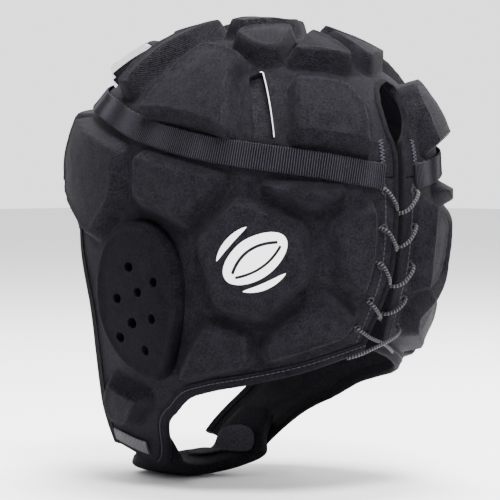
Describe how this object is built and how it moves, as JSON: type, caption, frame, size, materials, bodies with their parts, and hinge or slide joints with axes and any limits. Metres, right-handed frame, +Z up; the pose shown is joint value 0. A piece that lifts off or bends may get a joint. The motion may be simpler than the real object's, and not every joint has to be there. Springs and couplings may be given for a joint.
{
  "type": "rugby scrum cap",
  "caption": "Padded scrum cap with raised foam panels, perforated ear discs, a webbing band, rear lacing and a padded chin strap.",
  "frame": {"origin": "inside of the cap at the top of the head, where it sits on the wearer", "axes": "+Z up, the wearer looks along -Y and the wearer's left ear is on +X"},
  "size_m": [0.1856, 0.2214, 0.2486],
  "materials": {
    "padded_fabric": "near-black stretch knit over foam, soft sheen",
    "ear_fabric": "near-black smooth knit over moulded foam",
    "binding_tape": "folded knit binding tape, matt",
    "ribbed_webbing": "ribbed black webbing with a slight shine",
    "grey_elastic": "ribbed grey elastic",
    "strap_fabric": "near-black knit over soft foam",
    "loop_fabric": "fuzzy brushed loop, matt",
    "lace_cord": "thin braided cord, dark grey"
  },
  "bodies": {
    "root": {"crown_panel": "padded_fabric", "side_panel_left": "padded_fabric", "side_panel_right": "padded_fabric", "ear_pad_left": "ear_fabric", "ear_pad_right": "ear_fabric", "hem_binding_left": "binding_tape", "hem_binding_right": "binding_tape", "face_binding": "binding_tape", "slit_binding": "binding_tape", "crown_band": "ribbed_webbing", "cheek_elastic": "grey_elastic", "chin_strap": "strap_fabric", "strap_loop_patch": "loop_fabric", "rear_lace": "lace_cord"}
  },
  "joints": []
}
